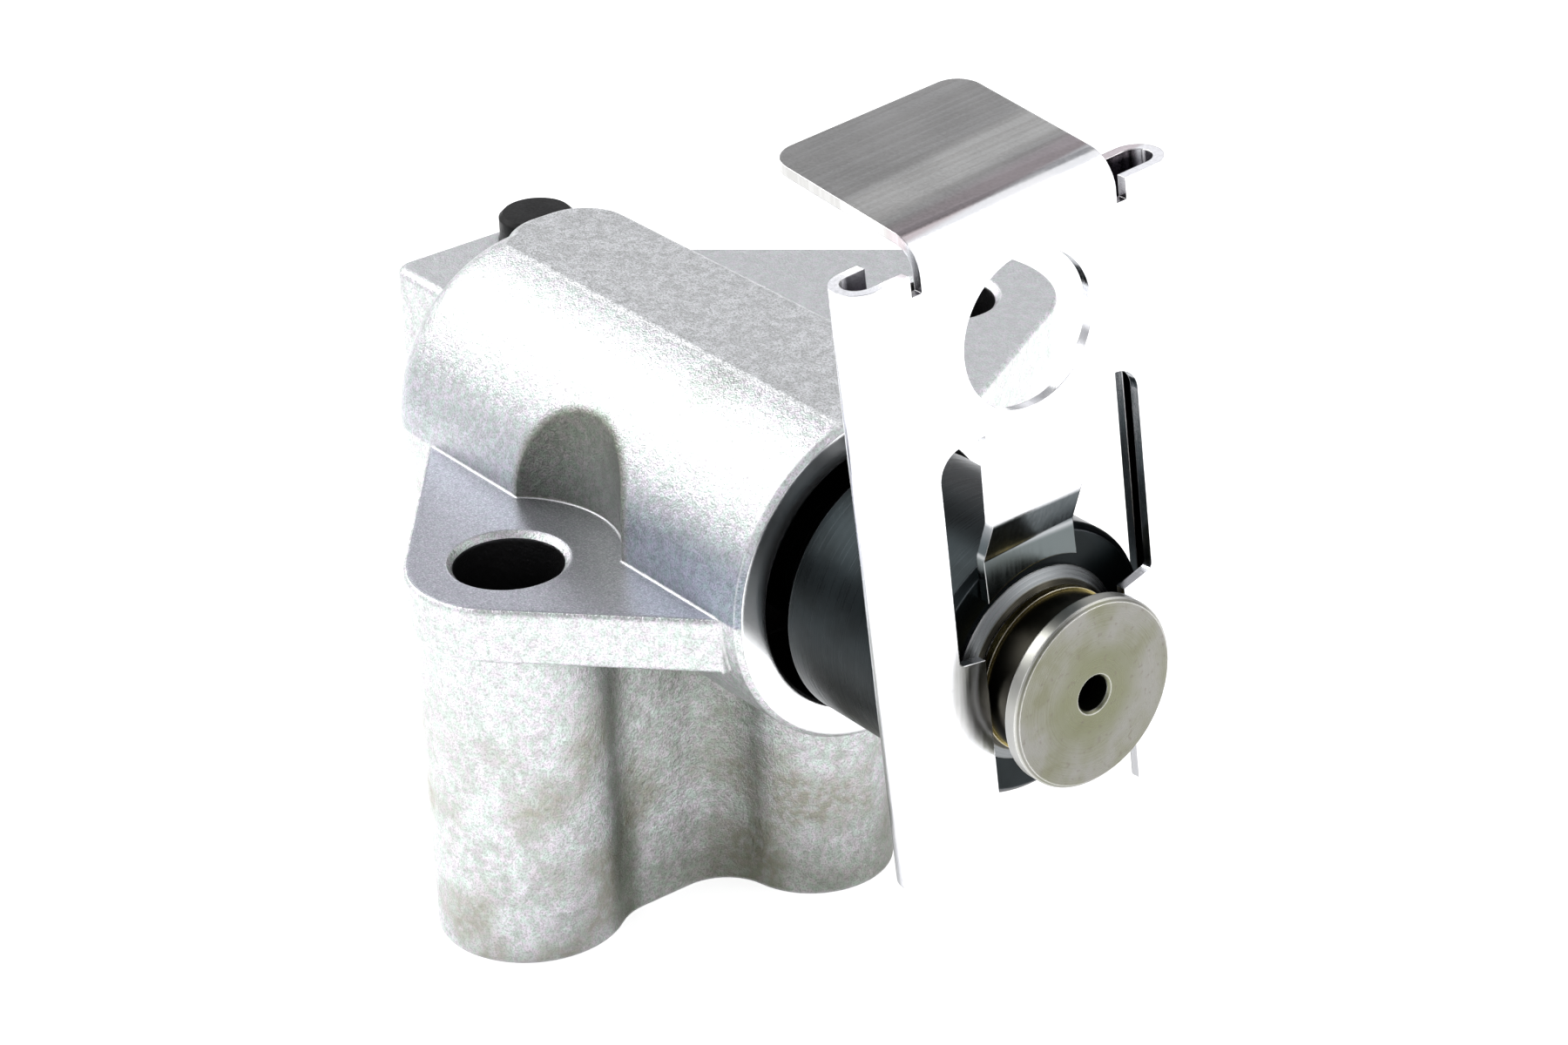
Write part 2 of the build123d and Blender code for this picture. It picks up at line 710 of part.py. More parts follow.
def transport_clip():
    """Sheet-steel clip, folded from one blank, set on the plunger's neck."""
    outer = tongue_half_width + tongue_notch
    rail = clip_rail() - clip_window()
    rail -= block((-3 * sheet, sheet), (-outer, outer), (tongue_z - tongue_foot, clip_top + 1))
    clip = rail + clip_tongue() + clip_tab()
    return Pos(clip_x, 0, 0) * Rot(clip_turn, 0, 0) * Rot(0, -clip_lean, 0) * clip


nodes = {
    "housing": housing,
    "plunger_body": plunger_body,
    "plunger_nose": plunger_nose,
    "neck_ring": neck_ring,
    "plunger_spring": plunger_spring,
    "volume_reducer": volume_reducer,
    "relief_seat": relief_seat,
    "relief_ball": relief_ball,
    "relief_spring": relief_spring,
    "check_seal": check_seal,
    "check_seat": check_seat,
    "check_ball": check_ball,
    "check_spring": check_spring,
    "check_cage": check_cage,
    "stop_ring": stop_ring,
    "gallery_plug": gallery_plug,
    "plug_seal": plug_seal,
    "feed_screen": feed_screen,
    "cross_ball": cross_ball,
    "transport_clip": transport_clip,
}


def export_nodes():
    """Moves each piece to the datum and writes it."""
    os.makedirs("parts", exist_ok=True)
    datum = Pos(-ear_1_x, -ear_1_y, mounting_drop)
    for name, make in nodes.items():
        solid = datum * make()
        export_step(solid, f"parts/{name}.step")
        print(name, round(solid.volume, 1), "mm3", len(solid.solids()), "solid")


export_nodes()
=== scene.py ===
import json
from math import cos, pi, radians, sin

import bpy
from mathutils import Matrix, Vector


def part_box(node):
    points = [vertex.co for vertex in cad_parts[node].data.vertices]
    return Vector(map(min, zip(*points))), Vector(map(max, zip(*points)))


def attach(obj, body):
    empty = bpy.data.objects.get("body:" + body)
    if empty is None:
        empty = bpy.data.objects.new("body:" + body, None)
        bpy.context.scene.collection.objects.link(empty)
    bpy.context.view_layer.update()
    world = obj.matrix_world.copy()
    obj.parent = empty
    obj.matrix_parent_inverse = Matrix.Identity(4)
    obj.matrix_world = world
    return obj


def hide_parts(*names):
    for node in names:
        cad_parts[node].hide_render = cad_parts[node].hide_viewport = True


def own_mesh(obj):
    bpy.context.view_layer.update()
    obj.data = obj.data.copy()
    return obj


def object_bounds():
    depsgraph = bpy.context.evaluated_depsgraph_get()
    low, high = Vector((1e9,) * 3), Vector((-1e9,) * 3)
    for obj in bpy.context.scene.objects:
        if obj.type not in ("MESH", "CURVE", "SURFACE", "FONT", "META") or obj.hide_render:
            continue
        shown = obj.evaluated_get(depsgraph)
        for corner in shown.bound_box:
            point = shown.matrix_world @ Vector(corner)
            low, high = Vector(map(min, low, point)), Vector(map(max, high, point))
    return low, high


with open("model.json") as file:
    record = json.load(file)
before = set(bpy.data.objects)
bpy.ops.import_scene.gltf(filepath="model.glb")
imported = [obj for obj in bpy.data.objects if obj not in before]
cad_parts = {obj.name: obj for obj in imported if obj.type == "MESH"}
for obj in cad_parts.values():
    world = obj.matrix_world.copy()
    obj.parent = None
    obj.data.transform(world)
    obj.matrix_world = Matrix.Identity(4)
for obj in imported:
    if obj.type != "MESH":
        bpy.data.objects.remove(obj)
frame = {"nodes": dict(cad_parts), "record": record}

# Timing chain tensioner: finishes of the casting, plunger, valve parts and folded clip, three wound
# springs in place of the CAD springs, the studio and the camera. Lengths are in metres.

MM = 0.001

CAD_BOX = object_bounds()

# Places on the part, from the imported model
MOUNTS = {mount["name"]: mount for mount in frame["record"]["mounts"]}
PLACES = {name: Vector(mount["pos_m"]) for name, mount in MOUNTS.items()}
EAR_1, EAR_2 = PLACES["ear_1_bolt"], PLACES["ear_2_bolt"]
EAR_1_TOP, EAR_2_TOP = PLACES["ear_1_seat"].z, PLACES["ear_2_seat"].z
HOLE_R = MOUNTS["ear_1_bolt"]["dims"]["r_mm"] * MM
RING_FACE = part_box("housing")[1].x
PAD_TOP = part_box("housing")[1].z
NOSE_FACE = PLACES["plunger_nose_face"].x
AXIS = (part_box("plunger_body")[0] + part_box("plunger_body")[1]) / 2     # on the plunger's axis

# The casting
ON_FACE = 0.03 * MM                         # a machined finish ends this far off its face
STAIN_TOP = 26 * MM                         # casting dirt lies below this height
STAIN_FADE = 10 * MM
RELIEF_R = 9.35 * MM                        # socket relief beside the barrel
RELIEF_FADE = 0.8 * MM
RELIEF_HEIGHT = 9 * MM                      # above the ear, where its painted shade is darkest
RELIEF_BACK = 1.0 * MM                      # its line, behind the first ear's bolt
COUNTERBORE_R = 10.65 * MM                  # bore that takes the plunger's head
COUNTERBORE_FLOOR = 2.0 * MM
HOLLOW_REACH, SHADE_REACH = 5 * MM, 14 * MM        # distance of the walls that bring painted shade into a hollow
HOLLOW_LOW, HOLLOW_HIGH = EAR_1_TOP - 16 * MM, EAR_1_TOP - 6 * MM      # painted shade in hollows is paler above
SHADE_LOW = EAR_1_TOP - 22 * MM             # wide shade is full here and faint at the ear's top
FOLD_1 = Vector((6.2, 5.0, 0)) * MM         # painted shade in the upright folds beside the web of the foot
FOLD_2 = Vector((7.2, 14.5, 0)) * MM
FOLD_1_R, FOLD_2_R = 3.2 * MM, 3.5 * MM
FOLD_1_LOW, FOLD_1_HIGH = 2 * MM, 16 * MM   # the first fold's painted shade is darkest low down
FOOT_SHADE_TOP = 8 * MM                          # painted shade low round the foot
FOOT_SHADE_START, FOOT_SHADE_FULL = 5 * MM, 9 * MM    # along Y
FLANK_TOP, FLANK_FULL = AXIS.z + 8 * MM, AXIS.z + 3 * MM       # shaded flank of the barrel
FLANK_EDGE, FLANK_SIDE = AXIS.y - 8 * MM, AXIS.y - 10 * MM
FLANK_REAR, FLANK_FRONT = -20 * MM, 14 * MM
CROWN = 0.09                                # lean of the ring face's normal, outward

# The nose
DISC_R = 7.3 * MM
DISC_REAR = NOSE_FACE - 1.5 * MM
STRAW_R, STRAW_FADE = 2.5 * MM, 5.0 * MM           # darker middle of the disc's face
NECK_REAR = RING_FACE + 18.2 * MM

# The clip
HEM_REACH = 4 * MM                          # distance of the walls that bring painted shade into the hems
TAB_HALF = 5.5 * MM                         # half the width of the spring tab
TAB_KNEE_TOP = AXIS.z + 13.9 * MM           # its step, painted dark blue for its shade
TAB_KNEE_FOOT = AXIS.z + 11.0 * MM
TAB_END = TAB_KNEE_FOOT - 7.5 * MM
TONGUE_FOOT = AXIS.z + 35.6 * MM            # everything of the clip above is its tongue
TONGUE_BAND = 34.2 * MM                     # middle of the paler band across it, a painted reflection
TONGUE_BAND_HALF = 2.6 * MM
TONGUE_STRIP = TONGUE_BAND + 2.0 * MM       # painted reflection: pinkish strip between the band and the bend
TONGUE_BEND = TONGUE_BAND + 4.3 * MM        # the bend keeps the bright zinc
TONGUE_SLANT = 0.08                         # of the band, for each metre along Y

# Round wire of the wound springs
WIRE_SIDES = 10
STEPS_PER_TURN = 28

# CAD spring, its body, its joint, turns, wire's radius and its anchored end
SPRINGS = [
    ("plunger_spring", "housing", "plunger_slide", 13, 0.5 * MM, "rear"),
    ("check_spring", "housing", "check_ball_lift", 3, 0.15 * MM, "front"),
    ("relief_spring", "plunger", "relief_ball_lift", 4, 0.175 * MM, "front"),
]

# Camera, as fitted to the photograph, about the ring face's centre
IMAGE_WIDTH, IMAGE_HEIGHT = 1800, 1200      # pixels
CAMERA_AZIMUTH = 37.22                      # degrees, from +X toward -Y
CAMERA_ELEVATION = 28.09
CAMERA_ROLL = 2.08
CAMERA_DISTANCE = 305.9 * MM
FOCAL_PIXELS = 4700
SENSOR_WIDTH = 36                           # millimetres, as camera sensors are given
RING_CENTRE_X, RING_CENTRE_Y = 1010.62, 657.34     # where the ring face's centre falls, in pixels
CLIP_START, CLIP_END = 10 * MM, 20.0

# Studio: brightness of the surroundings by the height of the direction, from level to straight up
SKY = [(0.0, 0.40), (0.2, 0.46), (0.47, 1.20), (0.62, 0.34), (1.0, 0.28)]
SKY_BLUE = 1.03                             # blue against red and green
FLOOR_SIZE = 6.0
FLOOR_GAP = 0.02 * MM                       # between the floor and the mounting face
FLOOR_COLOUR = 0.75
FLOOR_GLOW = 0.75                           # what the camera sees beyond the light that falls on it
# Painted shadow round the foot, seen in reflections of the floor
FOOT_MIDDLE = Vector((8.0, 24.0, 0.0)) * MM
FOOT_HALF_X, FOOT_HALF_Y = 16 * MM, 25 * MM
WINDOW_SIDE = (-0.8, -0.6, 0.0)             # painted shade: the way in which reflections of the floor grow darker
WINDOW_START, WINDOW_END = 75 * MM, 180 * MM

# Soft boxes: name, azimuth and elevation in degrees, distance, width and watts
LAMPS = [
    ("key", 155, 42, 0.8, 0.60, 4.5),
    ("side", 90, 25, 0.8, 0.35, 0.4),
    ("back", -80, 52, 0.6, 0.45, 0.45),
    ("bend", -52, 46, 0.8, 0.40, 0.9),
    ("wall", -34, 14, 0.8, 0.40, 0.9),
]


def rgb(r, g, b):
    return (r, g, b, 1.0)


# Plain finishes. Metals: paler and darker colour, roughness, and the marks' size and depth
METALS = {
    "brass_band": (rgb(0.42, 0.34, 0.13), rgb(0.30, 0.24, 0.09), 0.28, 0.1 * MM, 0.004 * MM),
    "spring_steel": (rgb(0.36, 0.35, 0.34), rgb(0.24, 0.23, 0.23), 0.35, 0.2 * MM, 0.004 * MM),
    "valve_steel": (rgb(0.52, 0.52, 0.53), rgb(0.38, 0.38, 0.39), 0.3, 0.1 * MM, 0.004 * MM),
    "bearing_steel": (rgb(0.80, 0.80, 0.82), rgb(0.72, 0.72, 0.74), 0.08, 0.3 * MM, 0.001 * MM),
}
# Plastics and rubber: paler and darker colour, roughness, grain's size and depth, and specular
PLASTICS = {
    "black_plastic": (rgb(0.014, 0.014, 0.014), rgb(0.007, 0.007, 0.007), 0.4,
                      0.25 * MM, 0.01 * MM, 0.1),
    "natural_plastic": (rgb(0.74, 0.71, 0.62), rgb(0.66, 0.62, 0.52), 0.5,
                        0.3 * MM, 0.01 * MM, 0.5),
    "black_rubber": (rgb(0.032, 0.032, 0.032), rgb(0.018, 0.018, 0.018), 0.6,
                     0.2 * MM, 0.01 * MM, 0.5),
}


class Tree:
    """A material's node tree, with short calls for the nodes used here."""

    BEVEL_SAMPLES = 6
    OCCLUSION_SAMPLES = 8

    def __init__(self, name, metallic, roughness, specular=0.5):
        self.material = bpy.data.materials.new(name)
        self.material.use_nodes = True
        self.nodes = self.material.node_tree.nodes
        self.links = self.material.node_tree.links
        self.shader = self.nodes["Principled BSDF"]
        self.shader.inputs["Metallic"].default_value = metallic
        self.shader.inputs["Roughness"].default_value = roughness
        self.shader.inputs["Specular IOR Level"].default_value = specular
        self.place = self.nodes.new("ShaderNodeTexCoord").outputs["Object"]

    def feed(self, socket, value):
        """Links a socket, or sets a number, vector or colour."""
        if isinstance(value, bpy.types.NodeSocket):
            self.links.new(value, socket)
        else:
            socket.default_value = value

    def math(self, operation, a, b=0.0):
        node = self.nodes.new("ShaderNodeMath")
        node.operation = operation
        self.feed(node.inputs[0], a)
        self.feed(node.inputs[1], b)
        return node.outputs[0]

    def product(self, first, *others):
        """Product of two or more values."""
        for other in others:
            first = self.math("MULTIPLY", first, other)
        return first

    def highest(self, first, *others):
        """Highest of two or more values."""
        for other in others:
            first = self.math("MAXIMUM", first, other)
        return first

    def without(self, value, mask):
        """The value where the mask is 0, and 0 where it is 1."""
        return self.math("MULTIPLY", value, self.math("SUBTRACT", 1.0, mask))

    def vector(self, operation, a, b=(0, 0, 0)):
        node = self.nodes.new("ShaderNodeVectorMath")
        node.operation = operation
        self.feed(node.inputs[0], a)
        self.feed(node.inputs[1], b)
        single = operation in ("LENGTH", "DOT_PRODUCT")
        return node.outputs["Value" if single else "Vector"]

    def along(self, axis):
        """The surface's place along an axis."""
        node = self.nodes.new("ShaderNodeSeparateXYZ")
        self.feed(node.inputs[0], self.place)
        return node.outputs[axis]

    def noise(self, size, detail, stretch=(1, 1, 1), shift=(0, 0, 0), roughness=0.5):
        """Noise whose features are about that size, in metres, longer along a stretched axis."""
        node = self.nodes.new("ShaderNodeTexNoise")
        node.inputs["Scale"].default_value = 1 / size
        node.inputs["Detail"].default_value = detail
        node.inputs["Roughness"].default_value = roughness
        scale = tuple(1 / s for s in stretch)
        moved = self.vector("ADD", self.place, shift)
        self.links.new(self.vector("MULTIPLY", moved, scale), node.inputs["Vector"])
        return node.outputs["Fac"]

    def rings(self, distance, size, detail):
        """Noise that changes only with a distance, as turned marks do."""
        node = self.nodes.new("ShaderNodeTexNoise")
        node.noise_dimensions = "1D"
        node.inputs["Scale"].default_value = 1 / size
        node.inputs["Detail"].default_value = detail
        self.links.new(distance, node.inputs["W"])
        return node.outputs["Fac"]

    def spread(self, value, low, high, start=0.0, end=1.0):
        """Maps low..high to start..end with soft ends, and no further."""
        node = self.nodes.new("ShaderNodeMapRange")
        node.interpolation_type = "SMOOTHSTEP"
        for name, number in (("From Min", low), ("From Max", high), ("To Min", start), ("To Max", end)):
            node.inputs[name].default_value = number
        self.links.new(value, node.inputs["Value"])
        return node.outputs["Result"]

    def varied(self, noise, start, end):
        """A number that wanders with a noise from start to end."""
        return self.spread(noise, 0.3, 0.7, start, end)

    def mix(self, factor, a, b):
        """Colour mix."""
        node = self.nodes.new("ShaderNodeMix")
        node.data_type = "RGBA"
        self.feed(node.inputs["Factor"], factor)
        self.feed(node.inputs[6], a)
        self.feed(node.inputs[7], b)
        return node.outputs[2]

    def clouded(self, noise, a, b):
        """Two colours that a noise blends in soft patches."""
        return self.mix(self.spread(noise, 0.35, 0.65), a, b)

    def darkened(self, colour, amount, share):
        """Keeps that share of red, green and blue where the amount is 1."""
        return self.mix(amount, colour, self.vector("MULTIPLY", colour, share))

    def bevel(self, radius):
        """Normal that rolls over sharp edges within the radius."""
        node = self.nodes.new("ShaderNodeBevel")
        node.samples = self.BEVEL_SAMPLES
        node.inputs["Radius"].default_value = radius
        return node.outputs["Normal"]

    def flat_normal(self):
        return self.nodes.new("ShaderNodeNewGeometry").outputs["True Normal"]

    def edges(self, rolled):
        """1 on sharp edges and 0 on open faces, from a rolled normal."""
        return self.spread(self.vector("DOT_PRODUCT", rolled, self.flat_normal()), 0.995, 0.85)

    def rubbed(self, colour, rolled, amount, bare):
        """Lets a barer colour through on sharp edges, as wear, and on the nose also as a painted
        highlight.
        """
        return self.mix(self.product(self.edges(rolled), amount), colour, bare)

    def bump(self, height, distance, strength, normal):
        node = self.nodes.new("ShaderNodeBump")
        node.inputs["Strength"].default_value = strength
        node.inputs["Distance"].default_value = distance
        self.links.new(height, node.inputs["Height"])
        self.links.new(normal, node.inputs["Normal"])
        return node.outputs["Normal"]

    def occlusion(self, reach):
        """Share of open space above the surface, within reach."""
        node = self.nodes.new("ShaderNodeAmbientOcclusion")
        node.samples = self.OCCLUSION_SAMPLES
        node.only_local = True
        node.inputs["Distance"].default_value = reach
        return node.outputs["AO"]

    def near(self, value, station, reach, core=0.5):
        """0 beyond reach from a station, and 1 within a share of that reach."""
        away = self.math("ABSOLUTE", self.math("SUBTRACT", value, station))
        return self.spread(away, reach, reach * core)

    def upright_distance(self, centre):
        """Distance from the line through centre along Z."""
        away = self.vector("MULTIPLY", self.vector("SUBTRACT", self.place, centre), (1, 1, 0))
        return self.vector("LENGTH", away)

    def off_axis(self):
        """Vector from the plunger's axis, square to it."""
        return self.vector("MULTIPLY", self.vector("SUBTRACT", self.place, AXIS), (0, 1, 1))

    def radius(self):
        """Distance from the plunger's axis."""
        return self.vector("LENGTH", self.off_axis())

    def outward(self):
        """Direction away from the plunger's axis."""
        return self.vector("NORMALIZE", self.off_axis())

    def turned_tangent(self):
        """Tangent that runs round the plunger's axis."""
        return self.vector("NORMALIZE", self.vector("CROSS_PRODUCT", (1, 0, 0), self.off_axis()))

    def facing_axis(self):
        """1 where the surface faces the plunger's axis, as a bore's wall does."""
        return self.spread(self.vector("DOT_PRODUCT", self.outward(), self.flat_normal()), -0.6, -0.7)

    def finish(self, colour=None, roughness=None, normal=None, metallic=None):
        for name, value in (("Base Color", colour), ("Roughness", roughness), ("Normal", normal),
                            ("Metallic", metallic)):
            if value is not None:
                self.feed(self.shader.inputs[name], value)
        return self.material


# Colours of the raw casting, and the share of red, green and blue that is left where it is darker: by
# dull patches, and by painted shade in hollows, folds, foot, flank and socket relief
GREENISH, LILAC = rgb(0.71, 0.82, 0.77), rgb(0.87, 0.80, 0.89)
PAD_WHITE = rgb(0.97, 0.98, 1.0)
SPECK_GREY = rgb(0.40, 0.41, 0.40)
GRAIN_LIGHT, GRAIN_DARK = rgb(0.88, 0.88, 0.88), rgb(0.30, 0.31, 0.30)
STAIN_BROWN = rgb(0.31, 0.29, 0.21)
PIT_GREY = rgb(0.30, 0.31, 0.29)
HOLLOW_SHADE_GREY = rgb(0.20, 0.20, 0.16)
DULL_SHARE = (0.50, 0.50, 0.44)
SHADE_SHARE = (0.24, 0.26, 0.20)
FOLD_SHADE_SHARE = (0.30, 0.32, 0.25)
FOOT_SHADE_SHARE = (0.40, 0.41, 0.33)
FLANK_SHARE = (0.46, 0.50, 0.57)
RELIEF_SHADE_SHARE = (0.22, 0.23, 0.18)

# Colours of its machined places, of the painted shade in its bolt holes and bore, and of its worn edges
# with painted highlights
SECOND_EAR = rgb(0.86, 0.87, 0.89)
TURNED_DARK, TURNED_LIGHT = rgb(0.92, 0.93, 0.94), rgb(0.97, 0.98, 0.99)
MILLED_DARK, MILLED_LIGHT = rgb(0.34, 0.34, 0.41), rgb(0.46, 0.46, 0.53)
MILLED_BRIGHT, MILLED_PIT = rgb(0.80, 0.80, 0.84), rgb(0.30, 0.30, 0.34)
HOLE_SHADE_BLACK, BORE_SHADE_BLACK = rgb(0.06, 0.06, 0.062), rgb(0.012, 0.012, 0.012)
CAST_EDGE_WEAR_AND_HIGHLIGHT = rgb(0.93, 0.93, 0.94)


def cast_skin(t, height, grain, speck):
    """Raw casting: two faint tints, a brighter pad, dull specks and light and dark grain."""
    tint = t.noise(0.55 * MM, 3, shift=(0.1, 0.6, 0.3))
    colour = t.mix(t.spread(tint, 0.36, 0.64), GREENISH, LILAC)
    colour = t.mix(t.product(t.near(height, PAD_TOP, 0.2 * MM), 0.9), colour, PAD_WHITE)
    colour = t.mix(t.spread(speck, 0.38, 0.62, start=0.36, end=0.0), colour, SPECK_GREY)
    colour = t.mix(t.spread(grain, 0.56, 0.72, end=0.6), colour, GRAIN_LIGHT)
    return t.mix(t.spread(grain, 0.42, 0.30, end=0.5), colour, GRAIN_DARK)


def cast_dirt(t, colour, height, speck, fine):
    """Dull patches, brown stains low down and dark pits."""
    patch = t.noise(2.6 * MM, 4, shift=(0.5, 0.2, 0.8), roughness=0.65)
    blotch = t.noise(7 * MM, 3, shift=(0.7, 0.4, 0.1))
    low = t.spread(height, STAIN_TOP, STAIN_TOP - STAIN_FADE)
    patchy = t.math("ADD", t.product(low, 0.3), 0.05)
    colour = t.darkened(colour, t.product(t.spread(patch, 0.46, 0.60), patchy), DULL_SHARE)
    stain = t.product(t.spread(blotch, 0.44, 0.66), t.spread(speck, 0.35, 0.6, start=0.35), low, 0.8)
    colour = t.mix(stain, colour, STAIN_BROWN)
    return t.mix(t.spread(fine, 0.55, 0.38, end=0.5), colour, PIT_GREY)


def cast_shade(t, colour, height, above_ear, pocket):
    """Painted shade: darker hollows, folds beside the web, low foot, barrel's low flank and socket
    relief.
    """
    # Painted shade in hollows, from how closely walls stand round them
    hollow_shade = t.product(t.spread(t.occlusion(HOLLOW_REACH), 0.95, 0.35),
                     t.spread(height, HOLLOW_LOW, HOLLOW_HIGH, start=0.8, end=0.35))
    colour = t.mix(hollow_shade, colour, HOLLOW_SHADE_GREY)
    shaded = t.product(t.spread(t.occlusion(SHADE_REACH), 0.82, 0.42),
                       t.spread(height, EAR_1_TOP, SHADE_LOW, start=0.25, end=0.9))
    colour = t.darkened(colour, shaded, SHADE_SHARE)

    # Painted shade in the upright folds beside the web
    first = t.product(t.spread(t.upright_distance(FOLD_1), FOLD_1_R, FOLD_1_R - 2.4 * MM),
                      t.spread(height, FOLD_1_HIGH, FOLD_1_LOW, start=0.2, end=0.9))
    second = t.spread(t.upright_distance(FOLD_2), FOLD_2_R, FOLD_2_R - 2.5 * MM, end=0.3)
    colour = t.darkened(colour, t.highest(first, second), FOLD_SHADE_SHARE)
    # Painted shade low round the foot, on the far side along Y
    foot_shade = t.product(t.spread(height, FOOT_SHADE_TOP, FOOT_SHADE_TOP - 7 * MM, end=0.6),
                      t.spread(t.along("Y"), FOOT_SHADE_START, FOOT_SHADE_FULL))
    colour = t.darkened(colour, foot_shade, FOOT_SHADE_SHARE)

    # Painted shade on the barrel's low flank above the first ear
    flank = t.product(t.spread(height, FLANK_TOP, FLANK_FULL), above_ear,
                      t.spread(t.along("Y"), FLANK_EDGE, FLANK_SIDE),
                      t.spread(t.along("X"), FLANK_REAR, FLANK_FRONT, start=0.4))
    colour = t.darkened(colour, t.without(flank, pocket), FLANK_SHARE)
    # Painted shade in the socket relief, darkest above the ear
    relief_shade = t.product(pocket, t.spread(height, EAR_1_TOP, EAR_1_TOP + RELIEF_HEIGHT,
                                      start=0.80, end=0.94))
    return t.darkened(colour, relief_shade, RELIEF_SHADE_SHARE)


def milled_skin(t, grain, fine):
    """Milled face of the first ear: lilac grey, with bright and dark points."""
    colour = t.clouded(grain, MILLED_DARK, MILLED_LIGHT)
    colour = t.mix(t.spread(fine, 0.52, 0.68, end=0.6), colour, MILLED_BRIGHT)
    return t.mix(t.spread(fine, 0.46, 0.32, end=0.5), colour, MILLED_PIT)


def cast_aluminium():
    """Grainy die casting with stains low down, painted shade in hollows, holes and bore, edges worn
    paler with painted highlights, and turned or milled faces where it is machined.
    """
    t = Tree("cast_aluminium", 0.9, 0.45)
    fine = t.noise(0.14 * MM, 2, shift=(0.2, 0.9, 0.5))
    grain = t.noise(0.30 * MM, 4, roughness=0.7)
    speck = t.noise(0.75 * MM, 3, shift=(0.3, 0.1, 0.2))
    height, station, across = t.along("Z"), t.along("X"), t.radius()

    above_ear = t.spread(height, EAR_1_TOP, EAR_1_TOP + 0.1 * MM)
    relief_line = EAR_1 - Vector((RELIEF_BACK, 0, 0))
    pocket = t.product(t.spread(t.upright_distance(relief_line), RELIEF_R + RELIEF_FADE, RELIEF_R),
                       above_ear)
    colour = cast_skin(t, height, grain, speck)
    colour = cast_dirt(t, colour, height, speck, fine)
    colour = cast_shade(t, colour, height, above_ear, pocket)

    ring_face = t.near(station, RING_FACE, ON_FACE)
    turned = t.highest(ring_face, t.near(height, 0.0, ON_FACE))
    ear_face = t.near(height, EAR_1_TOP, ON_FACE)
    second_ear = t.product(t.near(height, EAR_2_TOP, ON_FACE), 0.5)
    colour = t.mix(second_ear, colour, SECOND_EAR)
    colour = t.mix(t.product(ear_face, 0.75), colour, milled_skin(t, grain, fine))
    lathe = t.rings(across, 0.12 * MM, 2)
    colour = t.mix(turned, colour, t.mix(lathe, TURNED_DARK, TURNED_LIGHT))

    # Painted shade: the bolt holes' walls are painted near black
    drilled = t.math("MINIMUM", t.upright_distance(EAR_1), t.upright_distance(EAR_2))
    drilled = t.spread(drilled, HOLE_R + 2 * ON_FACE, HOLE_R + ON_FACE)
    colour = t.mix(drilled, colour, HOLE_SHADE_BLACK)
    # Painted shade: the counterbore's wall and floor are painted black
    wall = t.product(t.facing_axis(),
                     t.spread(across, COUNTERBORE_R + 0.35 * MM, COUNTERBORE_R + 0.25 * MM))
    inner = t.product(t.spread(across, COUNTERBORE_R + 0.1 * MM, COUNTERBORE_R + 0.05 * MM),
                      t.spread(station, COUNTERBORE_FLOOR, COUNTERBORE_FLOOR + 0.1 * MM),
                      t.spread(station, RING_FACE - 0.9 * MM, RING_FACE - 1.0 * MM))
    bored = t.highest(wall, inner)
    colour = t.mix(bored, colour, BORE_SHADE_BLACK)

    # Edges rubbed paler: wear, and a painted highlight along them
    rolled = t.bevel(0.4 * MM)
    worn_and_highlit = t.product(t.edges(rolled), t.spread(speck, 0.25, 0.5, start=0.5))
    worn_and_highlit = t.product(t.without(worn_and_highlit, t.highest(drilled, bored, pocket)), 0.85)
    colour = t.mix(worn_and_highlit, colour, CAST_EDGE_WEAR_AND_HIGHLIGHT)

    rough = t.mix(ring_face, t.varied(grain, 0.38, 0.29), rgb(0.17, 0.17, 0.17))
    metal = t.math("ADD", t.product(ring_face, 0.08), 0.9)
    t.feed(t.shader.inputs["Anisotropic"], t.product(ring_face, 0.4))
    t.feed(t.shader.inputs["Tangent"], t.outward())
    relief = t.math("ADD", grain, t.product(speck, 1.2))
    relief = t.math("ADD", relief, t.product(fine, 0.8))
    relief = t.without(relief, t.highest(turned, ear_face))
    crowned = t.vector("MULTIPLY", t.outward(), t.product(ring_face, CROWN))
    crowned = t.vector("NORMALIZE", t.vector("ADD", rolled, crowned))
    return t.finish(colour, rough, t.bump(relief, 0.09 * MM, 0.7, crowned), metal)


BLUED_DARK, BLUED_LIGHT = rgb(0.005, 0.008, 0.009), rgb(0.011, 0.016, 0.018)
BLUED_WORN = rgb(0.22, 0.24, 0.26)


def blued_steel():
    """Ground and blued steel with fine turned marks and paler edges."""
    t = Tree("blued_steel", 0.85, 0.32)
    marks = t.noise(0.14 * MM, 2, stretch=(1, 60, 60))
    cloud = t.noise(4 * MM, 3)
    rolled = t.bevel(0.25 * MM)
    colour = t.rubbed(t.clouded(cloud, BLUED_DARK, BLUED_LIGHT), rolled, 0.6, BLUED_WORN)
    rough = t.math("ADD", t.varied(marks, 0.0, 0.12), 0.26)
    return t.finish(colour, rough, t.bump(marks, 0.01 * MM, 0.5, rolled))


DISC_DARK, DISC_LIGHT = rgb(0.185, 0.185, 0.142), rgb(0.210, 0.210, 0.168)
DISC_GREY, DISC_OLIVE = rgb(0.25, 0.245, 0.235), rgb(0.155, 0.155, 0.098)
DISC_MIDDLE = rgb(0.165, 0.17, 0.105)
DISC_SPOT = rgb(0.14, 0.115, 0.10)
DISC_RIM_HIGHLIGHT = rgb(0.62, 0.62, 0.59)
NECK_SHADE_DARK, NECK_SHADE_LIGHT = rgb(0.03, 0.028, 0.022), rgb(0.07, 0.065, 0.05)
SHOULDER_GREY = rgb(0.20, 0.21, 0.215)
NOSE_EDGE_WEAR_AND_HIGHLIGHT = rgb(0.95, 0.95, 0.93)


